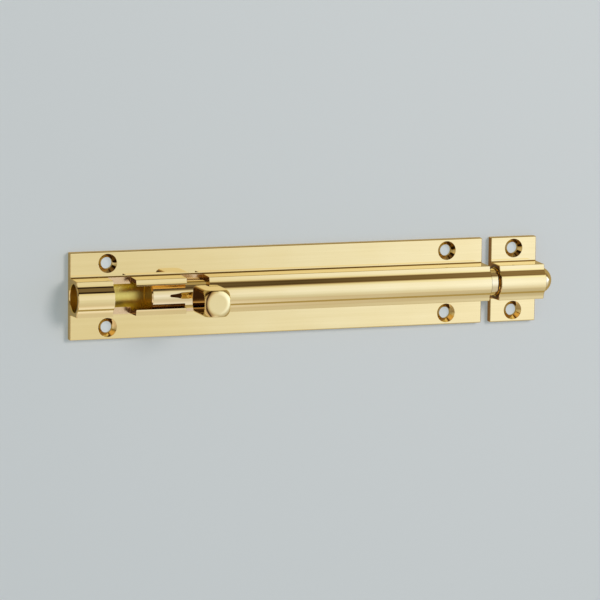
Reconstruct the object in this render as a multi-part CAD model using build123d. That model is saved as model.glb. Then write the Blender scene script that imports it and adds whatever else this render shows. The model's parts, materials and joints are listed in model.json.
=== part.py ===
"""Straight barrel bolt for a door: a brass plate with a barrel along it, a round bolt that slides and
turns in the barrel, a knob that works the bolt, and a separate keep plate that the bolt shoots into.

Frame: X runs along the bolt towards the keep, Y runs into the door, Z is up the door.
The origin is the middle of the main plate's back face. All sizes are in millimetres.
"""

import os
from math import asin, cos, degrees, radians, sin

from build123d import *

# ---- main plate and barrel section, as extruded brass
plate_length = 150.0
plate_width = 30.0
plate_thickness = 2.4
plate_edge_round = 0.4
flank_root_half = 6.35
flank_top_half = 6.15
flank_height = 7.85
root_fillet = 0.45
shoulder_round = 0.2
end_bevel = 0.2

# ---- the moulded front of the barrel: a bead between two coves
bead_front_radius = 7.0
bead_side_radius = 3.2
cove_radius = 2.8
inflection_half = 3.45
steepest_slope = 51.0
land_slope = 12.0

# ---- bore, slot and the two notches that the knob rests in
axis_height = 4.0
bore_radius = 4.85
bore_mouth_bevel = 0.3
notch_width = 8.1
slot_width = 8.1
notch_floor_height = 1.2
closed_notch_x = -32.1
bolt_travel = 26.0

# ---- screw holes
screw_hole_radius = 2.0
countersink_radius = 3.3
screw_pitch_x = 123.5
screw_pitch_z = 22.0

# ---- keep plate
keep_gap = 3.4
keep_length = 17.0

# ---- bolt rod
rod_radius = 4.75
rod_back_x = -48.5
rod_tip_x = 99.4
rod_back_bevel = 0.4

# ---- knob, turned from square bar
neck_radius = 2.75
neck_end = 8.05
flare_radius = 2.2
flare_angle = 55.0
head_side = 9.05
head_turned_radius = 5.95
head_end = 24.4
head_end_round = 2.7
knob_foot_gap = 0.05
knob_x = -31.6

# ---- working values: how far a cutter runs past the metal, and how close counts as the same place
cutter_overrun = 1.0
cutter_reach = 30.0
same_place = 1e-4
shortest_bevelled_edge = 0.5

# ---- positions that follow from the sizes
front_y = -plate_thickness
axis_y = -(plate_thickness + axis_height)
open_notch_x = closed_notch_x - bolt_travel
keep_start_x = plate_length / 2 + keep_gap
keep_middle_x = keep_start_x + keep_length / 2


def section_point(half_width, height):
    """A point of the cross-section: height is measured out from the plate's front face."""
    return (front_y - height, half_width)


def arc_points(middle, radius, start, end):
    """Start, middle and end of an arc whose radius turns from start to end degrees off straight out."""
    angles = [radians(a) for a in (start, (start + end) / 2, end)]
    return [(middle[0] + radius * sin(a), middle[1] + radius * cos(a)) for a in angles]


def half_outline():
    """The section's upper half as a list of lines and arcs in (half width, height), from the back out."""
    steep, land = radians(steepest_slope), radians(land_slope)
    join_sine = (inflection_half - bead_side_radius * sin(steep)) / (bead_front_radius - bead_side_radius)
    join = asin(join_sine)
    cove_end_half = inflection_half + cove_radius * (sin(steep) - sin(land))
    cove_end_height = flank_height + (flank_top_half - cove_end_half) * sin(land) / cos(land)
    inflection_height = cove_end_height + cove_radius * (cos(land) - cos(steep))
    side_middle = (
        inflection_half - bead_side_radius * sin(steep),
        inflection_height - bead_side_radius * cos(steep),
    )
    front_middle = (0.0, side_middle[1] - (bead_front_radius - bead_side_radius) * cos(join))
    cove_middle = (
        inflection_half + cove_radius * sin(steep),
        inflection_height + cove_radius * cos(steep),
    )
    cove = [
        (cove_middle[0] - cove_radius * sin(radians(a)), cove_middle[1] - cove_radius * cos(radians(a)))
        for a in (land_slope, (land_slope + steepest_slope) / 2, steepest_slope)
    ]
    side = arc_points(side_middle, bead_side_radius, steepest_slope, degrees(join))
    front = arc_points(front_middle, bead_front_radius, degrees(join), 0.0)
    return cove, side, front


def section_face():
    """The whole closed cross-section of plate and barrel, in the plane across the bolt."""
    cove, side, front = half_outline()
    half = plate_width / 2
    r = plate_edge_round
    rounded = [(half, -r), (half - r * (1 - cos(radians(45))), -r * (1 - sin(radians(45)))), (half - r, 0.0)]
    root = flank_root_half + root_fillet
    slant = root_fillet * (1 - sin(radians(45)))
    root_arc = [(root, 0.0), (flank_root_half + slant, slant), (flank_root_half, root_fillet)]

    def mirrored(points):
        return [(-half_width, height) for half_width, height in points]

    def line(a, b):
        return Line(section_point(*a), section_point(*b))

    def arc(points):
        return ThreePointArc(*[section_point(*p) for p in points])

    back = (half, -plate_thickness)
    shoulder = (flank_top_half, flank_height)
    edges = [line((-half, -plate_thickness), back)]
    for side_of in (lambda points: points, mirrored):
        edges.append(line(*side_of([back, rounded[0]])))
        edges.append(arc(side_of(rounded)))
        edges.append(line(*side_of([rounded[2], root_arc[0]])))
        edges.append(arc(side_of(root_arc)))
        edges.append(line(*side_of([root_arc[2], shoulder])))
        edges.append(line(*side_of([shoulder, cove[0]])))
        edges.append(arc(side_of(cove)))
        edges.append(arc(side_of(side)))
    edges.append(arc([front[0], front[2], mirrored([front[0]])[0]]))
    face = make_face(edges)
    shoulders = [v for v in face.vertices() if abs(v.X - section_point(*shoulder)[0]) < same_place]
    face = fillet(shoulders, shoulder_round)
    return Plane.YZ * face


def along_x(radius, start, end, height=axis_y):
    """A round bar along X on the bolt's axis."""
    bar = Cylinder(radius, end - start, rotation=(0, 90, 0))
    return Pos((start + end) / 2, height, 0) * bar


def mouth_cone(x, outward):
    """The small bevel round the bore where it comes out of an end face."""
    deep = bore_mouth_bevel
    cone = Cone(bore_radius, bore_radius + deep, deep, rotation=(0, 90 * outward, 0))
    return Pos(x - outward * deep / 2, axis_y, 0) * cone


def screw_hole(x, z):
    """A countersunk clearance hole, its wide mouth in the plate's front face."""
    shank = Cylinder(screw_hole_radius, 3 * plate_thickness, rotation=(90, 0, 0))
    deep = countersink_radius - screw_hole_radius
    sink = Cone(screw_hole_radius, countersink_radius, deep, rotation=(90, 0, 0))
    shank = Pos(x, -plate_thickness / 2, z) * shank
    return shank + Pos(x, front_y + deep / 2, z) * sink


def box_from(x, y, z):
    """A box from its (low, high) limits along each axis."""
    middle = [(lo + hi) / 2 for lo, hi in (x, y, z)]
    size = [hi - lo for lo, hi in (x, y, z)]
    return Pos(*middle) * Box(*size)


def extruded_stock(start, length):
    """A length of the plate-and-barrel section with its two sawn ends lightly bevelled and the bore through."""
    end = start + length
    stock = Pos(start, 0, 0) * extrude(section_face(), length)
    at_ends = [
        e for e in stock.edges() if min(abs(e.center().X - start), abs(e.center().X - end)) < same_place
    ]
    clear_of_back = [e for e in at_ends if e.center().Y < -same_place]
    stock = chamfer([e for e in clear_of_back if e.length > shortest_bevelled_edge], end_bevel)
    stock -= along_x(bore_radius, start - cutter_overrun, end + cutter_overrun)
    return stock - mouth_cone(start, -1) - mouth_cone(end, 1)


def barrel_plate():
    """The main plate with its barrel, notches, slot and four screw holes."""
    part = extruded_stock(-plate_length / 2, plate_length)
    half_notch, half_slot = notch_width / 2, slot_width / 2
    in_front = axis_y - cutter_reach
    across = (-flank_root_half - root_fillet, flank_root_half + root_fillet)
    for x in (open_notch_x, closed_notch_x):
        along = (x - half_notch, x + half_notch)
        part -= box_from(along, (in_front, front_y - notch_floor_height), across)
    part -= box_from((open_notch_x, closed_notch_x), (in_front, axis_y), (-half_slot, half_slot))
    for x in (-screw_pitch_x / 2, screw_pitch_x / 2):
        for z in (-screw_pitch_z / 2, screw_pitch_z / 2):
            part -= screw_hole(x, z)
    return part


def keep_plate():
    """The short length of the same section, with its two screw holes."""
    part = extruded_stock(keep_start_x, keep_length)
    for z in (-screw_pitch_z / 2, screw_pitch_z / 2):
        part -= screw_hole(keep_middle_x, z)
    return part


def bolt_rod():
    """The round bolt: a bevelled back end and a domed nose."""
    nose_middle = rod_tip_x - rod_radius
    bar = along_x(rod_radius, rod_back_x, nose_middle)
    back_edge = [e for e in bar.edges() if abs(e.center().X - rod_back_x) < same_place]
    bar = chamfer(back_edge, rod_back_bevel)
    return bar + Pos(nose_middle, axis_y, 0) * Sphere(rod_radius)


def knob_profile():
    """Half of the turned knob's outline in (radius, distance from the bolt's axis)."""
    turn = radians(flare_angle)
    flare_end = neck_radius + flare_radius * (1 - cos(turn)), neck_end + flare_radius * sin(turn)
    half_turn = turn / 2
    flare_mid = neck_radius + flare_radius * (1 - cos(half_turn)), neck_end + flare_radius * sin(half_turn)
    cone_rise = (head_turned_radius - flare_end[0]) * cos(turn) / sin(turn)
    rim = head_turned_radius, flare_end[1] + cone_rise
    side_end = head_turned_radius, head_end - head_end_round
    slant = head_end_round * sin(radians(45))
    round_mid = (side_end[0] - head_end_round + slant, side_end[1] + slant)
    round_end = head_turned_radius - head_end_round, head_end
    foot = axis_height / 2
    edges = [
        Line((0, foot), (neck_radius, foot)),
        Line((neck_radius, foot), (neck_radius, neck_end)),
        ThreePointArc((neck_radius, neck_end), flare_mid, flare_end),
        Line(flare_end, rim),
        Line(rim, side_end),
        ThreePointArc(side_end, round_mid, round_end),
        Line(round_end, (0, head_end)),
        Line((0, head_end), (0, foot)),
    ]
    return make_face(edges)


def knob():
    """The knob, square bar turned to a neck, standing straight out of the slot on the bolt's surface."""
    turned = revolve(knob_profile(), Axis.Y)
    turned = Rot(180, 0, 0) * turned
    bar = Pos(0, -head_end / 2, 0) * Box(head_side, 2 * head_end, head_side)
    turned = Pos(knob_x, axis_y, 0) * (turned & bar)
    reach = 2 * head_side
    saddle = along_x(rod_radius + knob_foot_gap, knob_x - reach, knob_x + reach)
    return turned - saddle


def one_solid(shape):
    """The single solid in a shape, so that each file holds exactly one piece."""
    solids = shape.solids()
    assert len(solids) == 1, f"{len(solids)} solids"
    return solids[0]


os.makedirs("parts", exist_ok=True)
for name, make in {
    "barrel_plate": barrel_plate,
    "keep_plate": keep_plate,
    "bolt_rod": bolt_rod,
    "knob": knob,
}.items():
    export_step(one_solid(make()), f"parts/{name}.step")
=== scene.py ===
"""A polished brass straight barrel bolt and its keep, finished and set against a pale wall.

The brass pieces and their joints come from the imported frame. This file gives each piece its surface,
builds the wall, the light and the camera, and is laid out as a Blender add-on. Lengths are in metres.
"""

import json
import math

import bpy
import numpy as np
from mathutils import Matrix, Vector


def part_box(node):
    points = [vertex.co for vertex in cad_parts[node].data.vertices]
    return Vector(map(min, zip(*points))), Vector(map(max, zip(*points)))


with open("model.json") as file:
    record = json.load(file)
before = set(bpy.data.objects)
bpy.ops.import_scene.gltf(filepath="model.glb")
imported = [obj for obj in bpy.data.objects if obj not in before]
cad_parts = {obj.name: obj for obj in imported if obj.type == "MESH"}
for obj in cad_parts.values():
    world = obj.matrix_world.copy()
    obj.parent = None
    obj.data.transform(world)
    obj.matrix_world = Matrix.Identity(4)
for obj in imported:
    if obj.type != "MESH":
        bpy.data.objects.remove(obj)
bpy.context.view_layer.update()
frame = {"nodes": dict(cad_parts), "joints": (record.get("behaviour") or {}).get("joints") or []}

bl_info = {
    "name": "Barrel Bolt",
    "version": (1, 0, 0),
    "blender": (4, 5, 0),
    "location": "3D View > Sidebar > Barrel Bolt",
    "description": "Brass finishes, wall, light and camera for a straight barrel bolt",
    "category": "Object",
}

MM = 0.001

# ---------------------------------------------------------------- sizes of the bolt

# where the brass pieces stand and how far the bolt slides, read from the frame
PLATE_LOW, PLATE_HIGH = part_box("barrel_plate")
KEEP_LOW, KEEP_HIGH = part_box("keep_plate")
ROD_LOW, ROD_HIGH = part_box("bolt_rod")
AXIS_Y = (ROD_LOW[1] + ROD_HIGH[1]) / 2
JOINTS = {joint["name"]: joint for joint in frame["joints"]}
TRAVEL = -JOINTS["bolt_slide"]["range_m"][0]

# the cuts in the plate and its barrel, where the slot is as wide as a notch; FLANK_HALF is half the
# width between the barrel's flanks
NOTCH_FLOOR_Y = -3.6 * MM
HALF_NOTCH = 4.05 * MM
FLANK_HALF = 6.35 * MM
BORE_RADIUS = 4.85 * MM
CLOSED_NOTCH_X = -32.1 * MM
OPEN_NOTCH_X = CLOSED_NOTCH_X - TRAVEL
HOLE_PITCH_X = 123.5 * MM
HOLE_PITCH_Z = 22.0 * MM

# ---------------------------------------------------------------- finish

# how far a flat surface's mask reaches past it, and over how much more it fades
REACH = 0.03 * MM
FADE = 0.02 * MM
# how far behind the notch floor and the bore their masks are still full, and how far they are gone
FULL = 0.02 * MM
GONE = 0.06 * MM
# half the width over which a surface's two colours blend, and the same beside the barrel's flanks
HALF_BLEND = 0.5 * MM
FLANGE_BLEND = 0.3 * MM
# where the painted shade round the keep's bore is still full, and where it is gone
RIM_SHADE_FULL = BORE_RADIUS + 0.8 * MM
RIM_SHADE_GONE = BORE_RADIUS + 1.6 * MM

# radii that the edges look worn to
PLATE_EDGE = 0.12 * MM
ROD_EDGE = 0.10 * MM
KNOB_EDGE = 0.85 * MM

# depth of the drawn and the turned lines
DRAWN_DEPTH = 0.001 * MM
TURNED_DEPTH = 0.0002 * MM

# roughness from the smooth to the coarse parts of the duller surfaces
MILLED_ROUGHNESS = (0.14, 0.22)
BORED_ROUGHNESS = (0.26, 0.34)
SLOT_ROUGHNESS = (0.18, 0.26)
SAWN_ROUGHNESS = (0.16, 0.26)

# tints that multiply the polished colour, and shades of the duller brass and of the wall's paint
DEEPER = (0.975, 0.955, 0.90)
LINE_TINT = (0.955, 0.945, 0.92)
MARK_SHADE = 0.90
CLOUD_SHADE = 0.97

# ---------------------------------------------------------------- wall

# how far behind the plates' backs the wall's face is, and how far it reaches in behind them
WALL_LEVEL = 0.4 * MM
WALL_OVERLAP = 0.6 * MM
# the disc of wall behind each screw hole
DISC_RADIUS = 2.35 * MM
DISC_SIDES = 24

# light that the wall gives off by itself: in the open, behind the screw holes, and in reflections
WALL_GLOW = (0.165, 0.213, 0.220)
HOLE_GLOW = (0.430, 0.485, 0.500)
MIRRORED_GLOW = (0.31, 0.27, 0.16)
# share of the paint's colour behind the screw holes, and in reflections
HOLE_PAINT = 0.4
MIRRORED_PAINT = (0.30, 0.20, 0.10)

# ---------------------------------------------------------------- light and camera

KEY_PLACE = Vector((0.42, -0.95, 0.36))
KEY_SIZE = 0.34
CAMERA_TARGET = Vector((7.59, -2.4, -4.29)) * MM
SENSOR_WIDTH = 36.0
CLIP_START, CLIP_END = 0.1, 20.0
# what the camera sees past the wall, and the tint of the even light on matt surfaces
BACKDROP = (0.60, 0.64, 0.64)
FILL_TINT = (0.98, 1.0, 0.97)

# light by roll in degrees, as the bolt's left end, its middle and its right end mirror it
LEFT_LIGHT = [
    (-80, (0.77, 0.71, 0.78)),
    (-60, (0.83, 0.78, 0.94)),
    (-42, (0.70, 0.67, 0.73)),
    (-30, (0.69, 0.67, 0.75)),
    (-16, (0.78, 0.80, 0.95)),
    (-9, (0.79, 0.81, 0.95)),
    (-3, (0.88, 0.91, 1.16)),
    (6, (0.89, 0.92, 1.18)),
    (16, (0.81, 0.82, 0.93)),
    (26, (0.80, 0.80, 0.86)),
    (36, (0.82, 0.82, 0.82)),
    (41, (0.50, 0.40, 0.32)),
    (46, (0.015, 0.01, 0.005)),
    (60, (0.014, 0.007, 0.006)),
    (69, (0.16, 0.11, 0.065)),
    (100, (0.125, 0.088, 0.049)),
]
MIDDLE_LIGHT = [
    (-80, (0.576, 0.498, 0.495)),
    (-50, (0.637, 0.583, 0.646)),
    (-34, (0.64, 0.62, 0.69)),
    (-26, (0.72, 0.74, 0.88)),
    (-18, (0.86, 0.92, 1.22)),
    (-9, (0.90, 0.97, 1.32)),
    (-3, (0.95, 1.02, 1.45)),
    (6, (0.94, 1.00, 1.37)),
    (16, (0.92, 0.96, 1.24)),
    (28, (0.84, 0.86, 1.02)),
    (35, (0.82, 0.82, 0.90)),
    (41, (0.68, 0.63, 0.58)),
    (48, (0.57, 0.48, 0.39)),
    (54, (0.34, 0.26, 0.19)),
    (60, (0.12, 0.074, 0.036)),
    (68, (0.060, 0.034, 0.016)),
    (100, (0.104, 0.070, 0.040)),
]
RIGHT_LIGHT = [
    (-80, (0.445, 0.395, 0.362)),
    (-50, (0.586, 0.528, 0.570)),
    (-40, (0.64, 0.64, 0.71)),
    (-28, (0.84, 0.86, 1.10)),
    (-18, (0.95, 1.03, 1.44)),
    (-9, (1.04, 1.13, 1.62)),
    (-3, (1.08, 1.19, 1.74)),
    (12, (1.04, 1.13, 1.61)),
    (24, (1.01, 1.07, 1.46)),
    (38, (1.05, 1.13, 1.22)),
    (43, (0.93, 0.95, 1.06)),
    (48, (0.68, 0.60, 0.58)),
    (54, (0.36, 0.28, 0.20)),
    (60, (0.160, 0.094, 0.040)),
    (74, (0.245, 0.165, 0.095)),
    (100, (0.140, 0.086, 0.038)),
]
# the direction's share along the bolt where each of the three holds
LEFT_SIDE, MIDDLE_SIDE, RIGHT_SIDE = 0.29, 0.33, 0.38

# share of that light by turn in degrees
TURN_LIGHT = [
    (-180, (0.60, 0.55, 0.45)),
    (-100, (0.95, 0.85, 0.70)),
    (-82, (1.24, 1.14, 0.97)),
    (-75, (1.03, 0.94, 0.88)),
    (-69, (0.36, 0.32, 0.22)),
    (-63, (0.96, 0.82, 0.60)),
    (-50, (1.02, 0.85, 0.65)),
    (-35, (0.55, 0.42, 0.30)),
    (-26, (0.12, 0.07, 0.04)),
    (-20, (0.06, 0.03, 0.02)),
    (-13, (0.03, 0.015, 0.01)),
    (-7, (0.44, 0.32, 0.25)),
    (6, (0.80, 0.70, 0.62)),
    (15, (1.03, 1.03, 1.05)),
    (17, (1.04, 1.055, 1.10)),
    (26, (1.04, 1.055, 1.10)),
    (34, (1.15, 1.25, 1.40)),
    (86, (1.35, 1.55, 2.00)),
    (115, (0.80, 0.75, 0.70)),
    (180, (0.60, 0.55, 0.45)),
]


# ---------------------------------------------------------------- properties


def surface_colour(name, description, default):
    """A colour property for one surface."""
    return bpy.props.FloatVectorProperty(
        name=name,
        description=description,
        subtype="COLOR",
        size=3,
        min=0.0,
        max=1.0,
        default=default,
    )


class BrassProps(bpy.types.PropertyGroup):
    """Colours and polish of the brass."""

    plate_colour: surface_colour(
        "Plate brass", "Colour that the extruded plate reflects", (0.930, 0.755, 0.330)
    )
    rod_colour: surface_colour(
        "Rod brass", "Colour that the drawn rod reflects", (0.945, 0.795, 0.410)
    )
    knob_colour: surface_colour(
        "Knob brass", "Colour that the turned knob reflects", (0.865, 0.695, 0.287)
    )
    milled_colour: surface_colour(
        "Milled brass", "Colour of the notches that the cutter left unpolished", (0.800, 0.560, 0.260)
    )
    # painted shade: the ends that face the gap between the plates, and the keep's far end, are darkened to
    # stand for the shade there; the saw's duller finish is in their roughness
    sawn_shade_colour: surface_colour(
        "Sawn brass", "Colour of the duller end faces that the saw left", (0.440, 0.220, 0.060)
    )
    outer_end: surface_colour(
        "Sawn brass, outer end", "Colour of the plate's outer end, which is paler", (0.700, 0.590, 0.330)
    )
    bored_colour: surface_colour(
        "Bored brass", "Colour inside the barrel's bore", (0.800, 0.640, 0.140)
    )
    bore_front: surface_colour(
        "Bore, outer half", "Colour of the bore's half away from the wall", (0.800, 0.530, 0.200)
    )
    # painted shade: the keep's bore is coloured near black to stand for the shade inside it, and the same
    # colour darkens the keep's end round the bore
    keep_bore_shade: surface_colour(
        "Bore of the keep", "Colour of the dull, dark bore of the keep", (0.160, 0.080, 0.035)
    )
    # painted light and shade: the slot's milled sides are two copies of one brass, the upper side a
    # brighter orange and the lower side, under the rod, painted dark as shade
    slot_roof_lit: surface_colour(
        "Slot, upper side", "Colour of the slot's side that faces down", (0.920, 0.580, 0.170)
    )
    slot_floor_shade: surface_colour(
        "Slot, lower side", "Colour of the slot's dull side that faces up", (0.250, 0.130, 0.060)
    )
    polish: bpy.props.FloatProperty(
        name="Roughness",
        description="Roughness of the polished faces",
        min=0.0,
        max=1.0,
        default=0.025,
    )


class StageProps(bpy.types.PropertyGroup):
    """Wall, light and camera."""

    wall_colour: surface_colour("Wall", "Colour of the painted wall", (0.620, 0.593, 0.574))
    wall_size: bpy.props.FloatProperty(
        name="Wall size",
        description="Width and height of the wall",
        unit="LENGTH",
        default=1.6,
    )
    fill: bpy.props.FloatProperty(
        name="Fill light",
        description="Strength of the even light that falls on the wall",
        min=0.0,
        default=0.275,
    )
    key_power: bpy.props.FloatProperty(
        name="Key light",
        description="Power of the soft key light that throws the knob's shadow",
        unit="POWER",
        default=4.6,
    )
    camera_turn: bpy.props.FloatProperty(
        name="Camera turn",
        description="How far the camera stands to the left of straight on",
        subtype="ANGLE",
        unit="ROTATION",
        default=math.radians(19.54),
    )
    camera_drop: bpy.props.FloatProperty(
        name="Camera drop",
        description="How far the camera looks down",
        subtype="ANGLE",
        unit="ROTATION",
        default=math.radians(8.56),
    )
    camera_roll: bpy.props.FloatProperty(
        name="Camera roll",
        description="How far the camera is turned about its own line of sight",
        subtype="ANGLE",
        unit="ROTATION",
        default=math.radians(0.644),
    )
    camera_distance: bpy.props.FloatProperty(
        name="Camera distance",
        description="Distance from the camera to the bolt",
        unit="LENGTH",
        default=1.4189,
    )
    lens: bpy.props.FloatProperty(
        name="Lens",
        description="Focal length on a 36 mm sensor, in millimetres",
        default=246.66,
    )


# ---------------------------------------------------------------- node helpers


class Tree:
    """A short way to write a shader's nodes. Apart from add and feed, a call gives back an output."""

    def __init__(self, nodes, links):
        self.nodes, self.links = nodes, links

    def add(self, kind, inputs=(), **settings):
        """Adds a node, sets its settings, and fills its inputs. Gives back the node itself."""
        node = self.nodes.new(kind)
        for name, value in settings.items():
            setattr(node, name, value)
        for key, value in dict(inputs).items():
            self.feed(node.inputs[key], value)
        return node

    def feed(self, socket, value):
        """Links an output to a socket, or sets the socket's own number or colour."""
        if isinstance(value, bpy.types.NodeSocket):
            self.links.new(value, socket)
        elif socket.type == "RGBA" and len(value) == 3:
            socket.default_value = (*value, 1.0)
        else:
            socket.default_value = value

    def math(self, operation, a, b=None, c=None, clamp=False):
        """One Math node."""
        inputs = {0: a}
        if b is not None:
            inputs[1] = b
        if c is not None:
            inputs[2] = c
        return self.add("ShaderNodeMath", inputs, operation=operation, use_clamp=clamp).outputs[0]

    def product(self, first, *others):
        """Several masks multiplied: 1 only where all of them are 1."""
        for other in others:
            first = self.math("MULTIPLY", first, other)
        return first

    def either(self, first, *others):
        """The highest of several masks."""
        for other in others:
            first = self.math("MAXIMUM", first, other)
        return first

    def step(self, value, start, end):
        """0 at start, 1 at end, and smooth between; start may be the higher of the two."""
        node = self.add(
            "ShaderNodeMapRange",
            {"Value": value, "From Min": start, "From Max": end},
            interpolation_type="SMOOTHSTEP",
        )
        return node.outputs["Result"]

    def remap(self, value, start, end, low, high):
        """Straight-line change of range, held at its ends."""
        inputs = {"Value": value, "From Min": start, "From Max": end, "To Min": low, "To Max": high}
        return self.add("ShaderNodeMapRange", inputs).outputs["Result"]

    def within(self, value, low, high):
        """1 while value lies between low and high, fading to 0 on both sides."""
        rise = self.step(value, low - FADE, low)
        fall = self.step(value, high, high + FADE)
        return self.math("SUBTRACT", rise, fall, clamp=True)

    def mix(self, share, a, b, blend="MIX"):
        """Mixes two colours."""
        node = self.add("ShaderNodeMix", data_type="RGBA", blend_type=blend)
        self.feed(node.inputs[0], share)
        self.feed(node.inputs[6], a)
        self.feed(node.inputs[7], b)
        return node.outputs[2]

    def number_mix(self, share, a, b):
        """Mixes two numbers."""
        return self.add("ShaderNodeMix", {0: share, 2: a, 3: b}).outputs[0]

    def noise(self, vector, scale, detail=2.0, rough=0.5, stretch=(1, 1, 1), place=(0, 0, 0)):
        """Noise on a stretched vector, as a number about 0.5."""
        where = self.add("ShaderNodeMapping", {"Vector": vector, "Scale": stretch, "Location": place})
        inputs = {"Vector": where.outputs[0], "Scale": scale, "Detail": detail, "Roughness": rough}
        return self.add("ShaderNodeTexNoise", inputs).outputs[0]

    def ramp(self, value, stops):
        """A Color Ramp with (position, colour) stops."""
        node = self.add("ShaderNodeValToRGB", {0: value})
        band = node.color_ramp
        while len(band.elements) > 1:
            band.elements.remove(band.elements[-1])
        band.elements[0].position = stops[0][0]
        band.elements[0].color = (*stops[0][1], 1.0)
        for place, colour in stops[1:]:
            band.elements.new(place).color = (*colour, 1.0)
        return node.outputs[0]


def new_material(name):
    """An empty node material. Returns (material, tree, shader, output)."""
    material = bpy.data.materials.new(name)
    material.use_nodes = True
    nodes = material.node_tree.nodes
    nodes.clear()
    tree = Tree(nodes, material.node_tree.links)
    shader = tree.add("ShaderNodeBsdfPrincipled", {"Metallic": 1.0})
    output = tree.add("ShaderNodeOutputMaterial", {"Surface": shader.outputs[0]})
    return material, tree, shader, output


def object_position(tree):
    """The place on the piece: (vector, x, y, z) in metres."""
    vector = tree.add("ShaderNodeTexCoord").outputs["Object"]
    parts = tree.add("ShaderNodeSeparateXYZ", {0: vector})
    return vector, parts.outputs[0], parts.outputs[1], parts.outputs[2]


def cover(piece, material):
    """Puts one material on a piece."""
    piece.data.materials.clear()
    piece.data.materials.append(material)


# ---------------------------------------------------------------- brass


def polished(tree, vector, colour, polish, streak, streak_scale, marks=1.0):
    """Polished brass: clouds of slightly different colour, and fine lines the way the piece was worked.

    streak is how much the pattern is stretched along each axis, and marks how strongly the lines show.
    Returns (colour, roughness, height).
    """
    clouds = tree.noise(vector, 38.0, detail=3.0, stretch=(1, 1.6, 1.6))
    lines = tree.noise(vector, streak_scale, detail=4.0, rough=0.65, stretch=streak)
    hair = tree.noise(vector, streak_scale * 5, detail=2.0, stretch=streak, place=(3, 1, 2))
    smudge = tree.noise(vector, 140.0, detail=4.0, rough=0.6, place=(5, 2, 1))
    deep = tuple(c * k for c, k in zip(colour, DEEPER))
    tint = tree.mix(tree.remap(clouds, 0.35, 0.65, 0.0, 1.0), deep, colour)
    tint = tree.mix(tree.remap(lines, 0.3, 0.7, marks, 0.0), tint, LINE_TINT, "MULTIPLY")
    rough = tree.remap(lines, 0.3, 0.75, polish * 0.7, polish * 1.4)
    rough = tree.math("ADD", rough, tree.remap(smudge, 0.5, 0.75, 0.0, polish * 0.8))
    height = tree.math("ADD", tree.math("MULTIPLY", lines, 0.7), tree.math("MULTIPLY", hair, 0.3))
    return tint, rough, height


def finish_shader(tree, shader, colour, roughness, height, depth, edge):
    """Colour, roughness, a bump whose full height is depth, and edges worn round to the radius edge."""
    worn = tree.add("ShaderNodeBevel", {"Radius": edge}, samples=8).outputs[0]
    bump = {"Height": height, "Strength": 1.0, "Distance": depth, "Normal": worn}
    tree.feed(shader.inputs["Base Color"], colour)
    tree.feed(shader.inputs["Roughness"], roughness)
    tree.feed(shader.inputs["Normal"], tree.add("ShaderNodeBump", bump).outputs[0])


def end_masks(tree, x):
    """The sawn end faces: the main plate's outer and inner end, then the keep's inner and outer end."""
    places = (PLATE_LOW[0], PLATE_HIGH[0], KEEP_LOW[0], KEEP_HIGH[0])
    return [tree.within(x, place - REACH, place + REACH) for place in places]


def notch_mask(tree, x, y, z):
    """The two milled notches: the notch floor, and all that stands out from it between the walls."""
    half = HALF_NOTCH + REACH
    between = [tree.within(x, middle - half, middle + half) for middle in (CLOSED_NOTCH_X, OPEN_NOTCH_X)]
    out_from_floor = tree.step(y, NOTCH_FLOOR_Y + GONE, NOTCH_FLOOR_Y + FULL)
    across = FLANK_HALF + HALF_BLEND
    return tree.product(tree.either(*between), out_from_floor, tree.within(z, -across, across))


def slot_mask(tree, x, z, front):
    """The slot's two sides: half its width from the middle, between the notches, in front of the axis."""
    at_side = tree.within(tree.math("ABSOLUTE", z), HALF_NOTCH - REACH, HALF_NOTCH + REACH)
    return tree.product(at_side, tree.within(x, OPEN_NOTCH_X, CLOSED_NOTCH_X), front)


def duller_surfaces(tree, props, vector, x, y, z):
    """The surfaces that aren't polished, as (mask, marks, colour, roughness range), later over earlier."""
    swirl = tree.noise(vector, 2600.0, detail=3.0, stretch=(1.0, 0.25, 0.6))
    rings = tree.noise(vector, 1500.0, detail=3.0, stretch=(1.0, 0.04, 0.04))
    outward = tree.math("SUBTRACT", y, AXIS_Y)
    away = tree.math("MULTIPLY_ADD", z, z, tree.math("MULTIPLY", outward, outward))
    away = tree.math("SQRT", away)
    front = tree.step(outward, HALF_BLEND, -HALF_BLEND)
    bored = tree.step(away, BORE_RADIUS + GONE, BORE_RADIUS + FULL)
    in_keep = tree.step(x, PLATE_HIGH[0], PLATE_HIGH[0] + HALF_BLEND)
    slotted = slot_mask(tree, x, z, front)
    # the slot's lower side, painted dark as shade
    slot_floor_shade = tree.product(slotted, tree.step(z, HALF_BLEND, -HALF_BLEND))
    outer_end, inner_end, keep_inner_end, keep_outer_end = end_masks(tree, x)
    # the ends that face the gap and the keep's far end, painted dark as shade
    sawn = tree.either(inner_end, keep_inner_end, keep_outer_end)
    # painted shade: the keep's inner end is darkened round its bore, where the bolt goes in
    keep_rim_shade = tree.product(keep_inner_end, tree.step(away, RIM_SHADE_GONE, RIM_SHADE_FULL))
    return (
        (notch_mask(tree, x, y, z), swirl, props.milled_colour, MILLED_ROUGHNESS),
        (bored, rings, props.bored_colour, BORED_ROUGHNESS),
        (tree.product(bored, front), rings, props.bore_front, BORED_ROUGHNESS),
        (tree.product(bored, in_keep), rings, props.keep_bore_shade, BORED_ROUGHNESS),
        (slotted, swirl, props.slot_roof_lit, SLOT_ROUGHNESS),
        (slot_floor_shade, swirl, props.slot_floor_shade, SLOT_ROUGHNESS),
        (outer_end, swirl, props.outer_end, SAWN_ROUGHNESS),
        (sawn, swirl, props.sawn_shade_colour, SAWN_ROUGHNESS),
        (keep_rim_shade, swirl, props.keep_bore_shade, SAWN_ROUGHNESS),
    )


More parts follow.
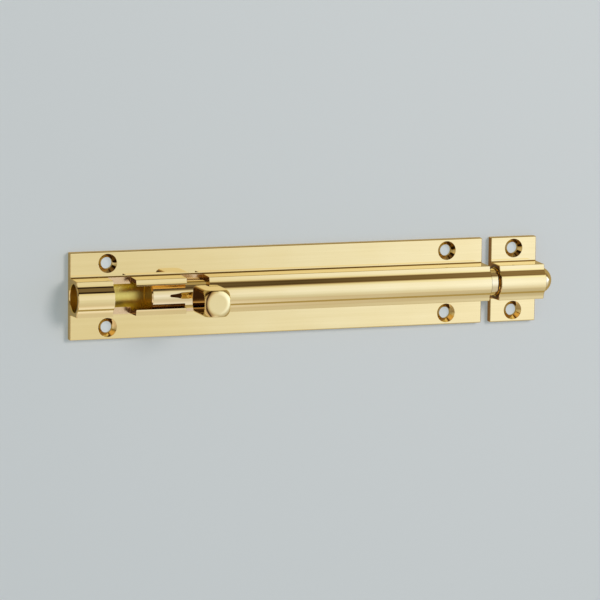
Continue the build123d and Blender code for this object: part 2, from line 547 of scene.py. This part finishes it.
def plate_brass(props):
    """Extruded brass: long drawn lines, flanges of a deeper colour, and the duller cut surfaces."""
    material, tree, shader, _ = new_material("extruded_brass")
    vector, x, y, z = object_position(tree)
    tint, rough, height = polished(
        tree, vector, props.plate_colour, props.polish, (0.02, 1.0, 1.0), 900.0
    )
    beside = tree.step(tree.math("ABSOLUTE", z), FLANK_HALF, FLANK_HALF + FLANGE_BLEND)
    tint = tree.mix(beside, tint, tree.mix(1.0, tint, DEEPER, "MULTIPLY"))
    for mask, marks, colour, (low, high) in duller_surfaces(tree, props, vector, x, y, z):
        shade = tree.mix(marks, tuple(c * MARK_SHADE for c in colour), tuple(colour))
        tint = tree.mix(mask, tint, shade)
        rough = tree.number_mix(mask, rough, tree.remap(marks, 0.3, 0.7, low, high))
    finish_shader(tree, shader, tint, rough, height, DRAWN_DEPTH, PLATE_EDGE)
    return material


def rod_brass(props):
    """Drawn brass rod: lines along it, and a paler, creamier colour."""
    material, tree, shader, _ = new_material("drawn_brass")
    vector, _, _, _ = object_position(tree)
    tint, rough, height = polished(
        tree, vector, props.rod_colour, props.polish, (0.05, 1.0, 1.0), 1100.0
    )
    finish_shader(tree, shader, tint, rough, height, DRAWN_DEPTH, ROD_EDGE)
    return material


def knob_brass(props):
    """Brass bar turned on a lathe: faint lines round the knob's own line, which stands out along Y."""
    material, tree, shader, _ = new_material("turned_brass")
    vector, _, _, _ = object_position(tree)
    tint, rough, height = polished(
        tree, vector, props.knob_colour, props.polish, (0.25, 1.0, 0.25), 900.0, marks=0.3
    )
    finish_shader(tree, shader, tint, rough, height, TURNED_DEPTH, KNOB_EDGE)
    return material


# ---------------------------------------------------------------- wall


def wall_grid(half):
    """The flat wall's corners and cells, a little behind the plates and open where they cover it.

    The corners are the products of a list of x places and a list of z places. A cell of that grid is
    left out where a plate covers it.
    """
    xs = np.array(
        [
            -half,
            PLATE_LOW[0] + WALL_OVERLAP,
            PLATE_HIGH[0] - WALL_OVERLAP,
            KEEP_LOW[0] + WALL_OVERLAP,
            KEEP_HIGH[0] - WALL_OVERLAP,
            half,
        ]
    )
    zs = np.array([-half, PLATE_LOW[2] + WALL_OVERLAP, PLATE_HIGH[2] - WALL_OVERLAP, half])
    gx, gz = np.meshgrid(xs, zs, indexing="ij")
    corners = np.stack([gx.ravel(), np.full(gx.size, WALL_LEVEL), gz.ravel()], axis=1)
    i, k = np.meshgrid(np.arange(len(xs) - 1), np.arange(len(zs) - 1), indexing="ij")
    covered = ((i == 1) | (i == 3)) & (k == 1)
    first = (i * len(zs) + k)[~covered]
    cells = np.stack([first, first + len(zs), first + len(zs) + 1, first + 1], axis=1)
    return corners, cells


def hole_discs():
    """The corners of a disc of wall behind each screw hole, one row of corners for each disc.

    A corner is the hole's middle plus the radius times (cosine, 0, sine) of its turn.
    """
    turn = np.linspace(0, 2 * np.pi, DISC_SIDES, endpoint=False)
    ring = np.stack([np.cos(turn), np.zeros(DISC_SIDES), np.sin(turn)], axis=1) * DISC_RADIUS
    keep_middle_x = (KEEP_LOW[0] + KEEP_HIGH[0]) / 2
    xs = (-HOLE_PITCH_X / 2, HOLE_PITCH_X / 2, keep_middle_x)
    zs = (-HOLE_PITCH_Z / 2, HOLE_PITCH_Z / 2)
    middles = np.array([(x, WALL_LEVEL, z) for x in xs for z in zs])
    return middles[:, None, :] + ring[None, :, :]


def wall_mesh(half):
    """The wall's grid in its first material and the discs behind the screw holes in its second."""
    corners, cells = wall_grid(half)
    discs = hole_discs()
    disc_faces = len(corners) + np.arange(discs.size // 3).reshape(discs.shape[:2])
    mesh = bpy.data.meshes.new("wall")
    points = np.concatenate([corners, discs.reshape(-1, 3)])
    mesh.from_pydata(points.tolist(), [], cells.tolist() + disc_faces.tolist())
    mesh.polygons.foreach_set("material_index", [0] * len(cells) + [1] * len(disc_faces))
    mesh.update()
    return mesh


def wall_paint(name, colour, glow):
    """Pale matt paint with faint clouds, which gives off a little light and is seen from its front only.

    In reflections it is given a darker, warmer colour and glow, which stands in for the shade and the
    brass tint of the wall close to the plates.
    """
    material, tree, shader, output = new_material(name)
    shader.inputs["Metallic"].default_value = 0.0
    shader.inputs["Roughness"].default_value = 0.85
    shader.inputs["Specular IOR Level"].default_value = 0.2
    vector, _, _, _ = object_position(tree)
    cloud = tree.noise(vector, 5.0, detail=2.0)
    paint = tree.mix(cloud, tuple(c * CLOUD_SHADE for c in colour), colour)
    mirrored = tree.add("ShaderNodeLightPath").outputs["Is Glossy Ray"]
    mirrored_paint = tree.mix(1.0, paint, MIRRORED_PAINT, "MULTIPLY")
    tree.feed(shader.inputs["Base Color"], tree.mix(mirrored, paint, mirrored_paint))
    tree.feed(shader.inputs["Emission Color"], tree.mix(mirrored, glow, MIRRORED_GLOW))
    shader.inputs["Emission Strength"].default_value = 1.0
    through = tree.add("ShaderNodeBsdfTransparent").outputs[0]
    back = tree.add("ShaderNodeNewGeometry").outputs["Backfacing"]
    front_only = tree.add("ShaderNodeMixShader", {0: back, 1: shader.outputs[0], 2: through})
    tree.feed(output.inputs["Surface"], front_only.outputs[0])
    return material


def build_wall(scene, props):
    wall = bpy.data.objects.new("wall", wall_mesh(props.wall_size / 2))
    scene.collection.objects.link(wall)
    colour = tuple(props.wall_colour)
    behind_holes = tuple(c * HOLE_PAINT for c in colour)
    wall.data.materials.append(wall_paint("wall_paint", colour, WALL_GLOW))
    wall.data.materials.append(wall_paint("wall_paint_in_holes", behind_holes, HOLE_GLOW))


# ---------------------------------------------------------------- light


def profile(tree, angle, stops):
    """A light profile over an angle in degrees from -180 to 180."""
    whole_turn = tree.remap(angle, -180.0, 180.0, 0.0, 1.0)
    return tree.ramp(whole_turn, [((degrees + 180) / 360, colour) for degrees, colour in stops])


def studio_light(scene, fill):
    """The studio as the brass sees it, by the direction it looks in.

    roll is the angle about the bolt's own line, 0 straight out of the wall and 90 up, and side the
    direction's share along the bolt, so a straight polished bar sees one value of side at each place
    along it. Three profiles over roll are blended by side: a soft box in front that ends under a dark
    ceiling, brighter and reaching higher to the right. A profile over turn, the compass angle to the
    right of straight out, adds the dark gap round the camera and the lights at the far left and right.
    Matt surfaces get an even fill instead of all this, and the camera itself sees a plain backdrop.
    """
    world = bpy.data.worlds.new("studio")
    scene.world = world
    world.use_nodes = True
    nodes = world.node_tree.nodes
    nodes.clear()
    tree = Tree(nodes, world.node_tree.links)
    direction = tree.add("ShaderNodeTexCoord").outputs["Generated"]
    side, y, z = tree.add("ShaderNodeSeparateXYZ", {0: direction}).outputs
    out = tree.math("MULTIPLY", y, -1.0)
    turn = tree.math("MULTIPLY", tree.math("ARCTAN2", side, out), 180 / math.pi)
    roll = tree.math("MULTIPLY", tree.math("ARCTAN2", z, out), 180 / math.pi)
    left, middle, right = (profile(tree, roll, stops) for stops in (LEFT_LIGHT, MIDDLE_LIGHT, RIGHT_LIGHT))
    lit = tree.mix(tree.remap(side, LEFT_SIDE, MIDDLE_SIDE, 0.0, 1.0), left, middle)
    lit = tree.mix(tree.remap(side, MIDDLE_SIDE, RIGHT_SIDE, 0.0, 1.0), lit, right)
    lit = tree.mix(1.0, lit, profile(tree, turn, TURN_LIGHT), "MULTIPLY")
    path = tree.add("ShaderNodeLightPath").outputs
    shown = tree.mix(path["Is Diffuse Ray"], lit, tuple(fill * c for c in FILL_TINT))
    shown = tree.mix(path["Is Camera Ray"], shown, BACKDROP)
    background = tree.add("ShaderNodeBackground", {"Color": shown, "Strength": 1.0})
    tree.add("ShaderNodeOutputWorld", {"Surface": background.outputs[0]})


def key_light(scene, power):
    """A soft square lamp from above right, which the brass doesn't mirror."""
    lamp = bpy.data.lights.new("key", "AREA")
    lamp.shape = "RECTANGLE"
    lamp.size, lamp.size_y = KEY_SIZE, KEY_SIZE
    lamp.energy = power
    key = bpy.data.objects.new("key", lamp)
    scene.collection.objects.link(key)
    key.location = KEY_PLACE
    key.rotation_euler = (-KEY_PLACE).to_track_quat("-Z", "Y").to_euler()
    key.visible_glossy = False
    key.visible_camera = False


# ---------------------------------------------------------------- camera


def aim(camera, props):
    """Sets the camera at its angle: turned left, looking down, and rolled about its line of sight."""
    turn, drop, roll = props.camera_turn, props.camera_drop, props.camera_roll
    ahead = Vector((math.sin(turn) * math.cos(drop), math.cos(turn) * math.cos(drop), -math.sin(drop)))
    right = Vector((math.cos(turn), -math.sin(turn), 0.0))
    up = right.cross(ahead)
    rolled_right = math.cos(roll) * right + math.sin(roll) * up
    rolled_up = -math.sin(roll) * right + math.cos(roll) * up
    axes = Matrix((rolled_right, rolled_up, -ahead)).transposed().to_4x4()
    place = CAMERA_TARGET - ahead * props.camera_distance
    camera.matrix_world = Matrix.Translation(place) @ axes
    camera.data.lens = props.lens
    camera.data.sensor_width = SENSOR_WIDTH
    camera.data.clip_start, camera.data.clip_end = CLIP_START, CLIP_END


def build_camera(scene, props):
    """Adds the camera and makes it the scene's."""
    camera = bpy.data.objects.new("camera", bpy.data.cameras.new("camera"))
    scene.collection.objects.link(camera)
    aim(camera, props)
    scene.camera = camera


# ---------------------------------------------------------------- operators


class BARRELBOLT_OT_plates(bpy.types.Operator):
    """Finish the main plate and the keep as extruded brass"""

    bl_idname = "barrelbolt.plates"
    bl_label = "Finish Plate and Keep"

    def execute(self, context):
        material = plate_brass(context.scene.barrel_bolt_brass)
        for name in ("barrel_plate", "keep_plate"):
            cover(frame["nodes"][name], material)
        return {"FINISHED"}


class BARRELBOLT_OT_rod(bpy.types.Operator):
    """Finish the sliding rod as drawn brass"""

    bl_idname = "barrelbolt.rod"
    bl_label = "Finish Rod"

    def execute(self, context):
        cover(frame["nodes"]["bolt_rod"], rod_brass(context.scene.barrel_bolt_brass))
        return {"FINISHED"}


class BARRELBOLT_OT_knob(bpy.types.Operator):
    """Finish the knob as turned brass"""

    bl_idname = "barrelbolt.knob"
    bl_label = "Finish Knob"

    def execute(self, context):
        cover(frame["nodes"]["knob"], knob_brass(context.scene.barrel_bolt_brass))
        return {"FINISHED"}


class BARRELBOLT_OT_stage(bpy.types.Operator):
    """Build the wall, the studio light and the camera"""

    bl_idname = "barrelbolt.stage"
    bl_label = "Build Stage"

    def execute(self, context):
        scene = context.scene
        props = scene.barrel_bolt_stage
        build_wall(scene, props)
        studio_light(scene, props.fill)
        key_light(scene, props.key_power)
        build_camera(scene, props)
        scene.view_settings.view_transform = "Standard"
        return {"FINISHED"}


class BARRELBOLT_PT_panel(bpy.types.Panel):
    """Sidebar panel that lists the steps and their settings"""

    bl_idname = "BARRELBOLT_PT_panel"
    bl_label = "Barrel Bolt"
    bl_space_type = "VIEW_3D"
    bl_region_type = "UI"
    bl_category = "Barrel Bolt"

    def draw(self, context):
        layout = self.layout
        for operator in OPERATORS:
            layout.operator(operator.bl_idname)
        for props in (context.scene.barrel_bolt_brass, context.scene.barrel_bolt_stage):
            box = layout.box()
            for name in props.__annotations__:
                box.prop(props, name)


OPERATORS = (
    BARRELBOLT_OT_plates,
    BARRELBOLT_OT_rod,
    BARRELBOLT_OT_knob,
    BARRELBOLT_OT_stage,
)
CLASSES = (BrassProps, StageProps, *OPERATORS, BARRELBOLT_PT_panel)


def register():
    """Registers the classes and puts their settings on the scene."""
    for cls in CLASSES:
        bpy.utils.register_class(cls)
    bpy.types.Scene.barrel_bolt_brass = bpy.props.PointerProperty(type=BrassProps)
    bpy.types.Scene.barrel_bolt_stage = bpy.props.PointerProperty(type=StageProps)


def unregister():
    """Takes the settings and the classes away again."""
    del bpy.types.Scene.barrel_bolt_stage
    del bpy.types.Scene.barrel_bolt_brass
    for cls in reversed(CLASSES):
        bpy.utils.unregister_class(cls)


def main():
    """Registers the classes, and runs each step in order."""
    register()
    bpy.ops.barrelbolt.plates()
    bpy.ops.barrelbolt.rod()
    bpy.ops.barrelbolt.knob()
    bpy.ops.barrelbolt.stage()


if __name__ == "__main__":
    main()
